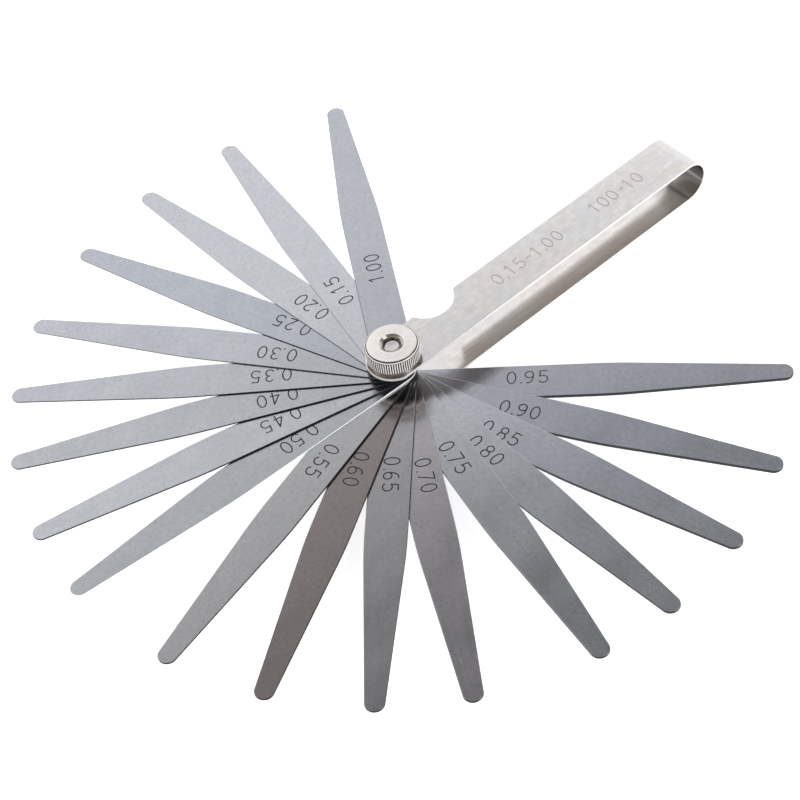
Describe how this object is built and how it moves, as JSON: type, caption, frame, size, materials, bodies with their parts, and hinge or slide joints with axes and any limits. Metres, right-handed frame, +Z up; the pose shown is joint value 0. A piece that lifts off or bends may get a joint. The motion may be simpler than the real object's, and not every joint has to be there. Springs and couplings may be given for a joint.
{
  "type": "feeler gauge",
  "caption": "Feeler gauge: tapered steel leaves of stepped thickness fanned on one pivot, in a folded nickel-plated holder clamped by a knurled thumb nut.",
  "frame": {"origin": "on the pivot axis, at the flat underside of the pivot screw's head, which the gauge rests on", "axes": "+Z up the pivot axis towards the thumb nut; +X along the holder from the pivot to its bend; the thumb scoop faces +Y"},
  "size_m": [0.1963, 0.1898, 0.0185],
  "materials": {
    "nickel_strip": "satin nickel plate on folded steel strip",
    "nickel_bright": "bright nickel plate on turned steel",
    "leaf_steel": "ground and lightly oiled spring steel with dark etched numerals"
  },
  "bodies": {
    "holder": {"holder": "nickel_strip", "pivot_screw": "nickel_bright"},
    "thumb_nut": {"thumb_nut": "nickel_bright"},
    "blade_1_00": {"blade_1_00": "leaf_steel"},
    "blade_0_15": {"blade_0_15": "leaf_steel"},
    "blade_0_20": {"blade_0_20": "leaf_steel"},
    "blade_0_25": {"blade_0_25": "leaf_steel"},
    "blade_0_30": {"blade_0_30": "leaf_steel"},
    "blade_0_35": {"blade_0_35": "leaf_steel"},
    "blade_0_40": {"blade_0_40": "leaf_steel"},
    "blade_0_45": {"blade_0_45": "leaf_steel"},
    "blade_0_50": {"blade_0_50": "leaf_steel"},
    "blade_0_55": {"blade_0_55": "leaf_steel"},
    "blade_0_60": {"blade_0_60": "leaf_steel"},
    "blade_0_65": {"blade_0_65": "leaf_steel"},
    "blade_0_70": {"blade_0_70": "leaf_steel"},
    "blade_0_75": {"blade_0_75": "leaf_steel"},
    "blade_0_80": {"blade_0_80": "leaf_steel"},
    "blade_0_85": {"blade_0_85": "leaf_steel"},
    "blade_0_90": {"blade_0_90": "leaf_steel"},
    "blade_0_95": {"blade_0_95": "leaf_steel"}
  },
  "joints": [
    {"name": "nut_turn", "type": "hinge", "parent": "holder", "child": "thumb_nut", "pos_m": [0, 0, 0.014], "axis": [0, 0, 1], "range_deg": [0, 360]},
    {"name": "blade_1_00_swing", "type": "hinge", "parent": "holder", "child": "blade_1_00", "pos_m": [0, 0, 0.007], "axis": [0, 0, 1], "range_deg": [-59, 301]},
    {"name": "blade_0_15_swing", "type": "hinge", "parent": "holder", "child": "blade_0_15", "pos_m": [0, 0, 0.007], "axis": [0, 0, 1], "range_deg": [-78, 282]},
    {"name": "blade_0_20_swing", "type": "hinge", "parent": "holder", "child": "blade_0_20", "pos_m": [0, 0, 0.007], "axis": [0, 0, 1], "range_deg": [-94, 266]},
    {"name": "blade_0_25_swing", "type": "hinge", "parent": "holder", "child": "blade_0_25", "pos_m": [0, 0, 0.007], "axis": [0, 0, 1], "range_deg": [-109, 251]},
    {"name": "blade_0_30_swing", "type": "hinge", "parent": "holder", "child": "blade_0_30", "pos_m": [0, 0, 0.007], "axis": [0, 0, 1], "range_deg": [-125, 235]},
    {"name": "blade_0_35_swing", "type": "hinge", "parent": "holder", "child": "blade_0_35", "pos_m": [0, 0, 0.007], "axis": [0, 0, 1], "range_deg": [-139, 221]},
    {"name": "blade_0_40_swing", "type": "hinge", "parent": "holder", "child": "blade_0_40", "pos_m": [0, 0, 0.007], "axis": [0, 0, 1], "range_deg": [-152, 208]},
    {"name": "blade_0_45_swing", "type": "hinge", "parent": "holder", "child": "blade_0_45", "pos_m": [0, 0, 0.007], "axis": [0, 0, 1], "range_deg": [-166, 194]},
    {"name": "blade_0_50_swing", "type": "hinge", "parent": "holder", "child": "blade_0_50", "pos_m": [0, 0, 0.007], "axis": [0, 0, 1], "range_deg": [-178, 182]},
    {"name": "blade_0_55_swing", "type": "hinge", "parent": "holder", "child": "blade_0_55", "pos_m": [0, 0, 0.007], "axis": [0, 0, 1], "range_deg": [-196, 164]},
    {"name": "blade_0_60_swing", "type": "hinge", "parent": "holder", "child": "blade_0_60", "pos_m": [0, 0, 0.007], "axis": [0, 0, 1], "range_deg": [-211, 149]},
    {"name": "blade_0_65_swing", "type": "hinge", "parent": "holder", "child": "blade_0_65", "pos_m": [0, 0, 0.007], "axis": [0, 0, 1], "range_deg": [-226, 134]},
    {"name": "blade_0_70_swing", "type": "hinge", "parent": "holder", "child": "blade_0_70", "pos_m": [0, 0, 0.007], "axis": [0, 0, 1], "range_deg": [-239, 121]},
    {"name": "blade_0_75_swing", "type": "hinge", "parent": "holder", "child": "blade_0_75", "pos_m": [0, 0, 0.007], "axis": [0, 0, 1], "range_deg": [-257, 103]},
    {"name": "blade_0_80_swing", "type": "hinge", "parent": "holder", "child": "blade_0_80", "pos_m": [0, 0, 0.007], "axis": [0, 0, 1], "range_deg": [-269, 91]},
    {"name": "blade_0_85_swing", "type": "hinge", "parent": "holder", "child": "blade_0_85", "pos_m": [0, 0, 0.007], "axis": [0, 0, 1], "range_deg": [-283, 77]},
    {"name": "blade_0_90_swing", "type": "hinge", "parent": "holder", "child": "blade_0_90", "pos_m": [0, 0, 0.007], "axis": [0, 0, 1], "range_deg": [-298, 62]},
    {"name": "blade_0_95_swing", "type": "hinge", "parent": "holder", "child": "blade_0_95", "pos_m": [0, 0, 0.007], "axis": [0, 0, 1], "range_deg": [-316, 44]}
  ]
}
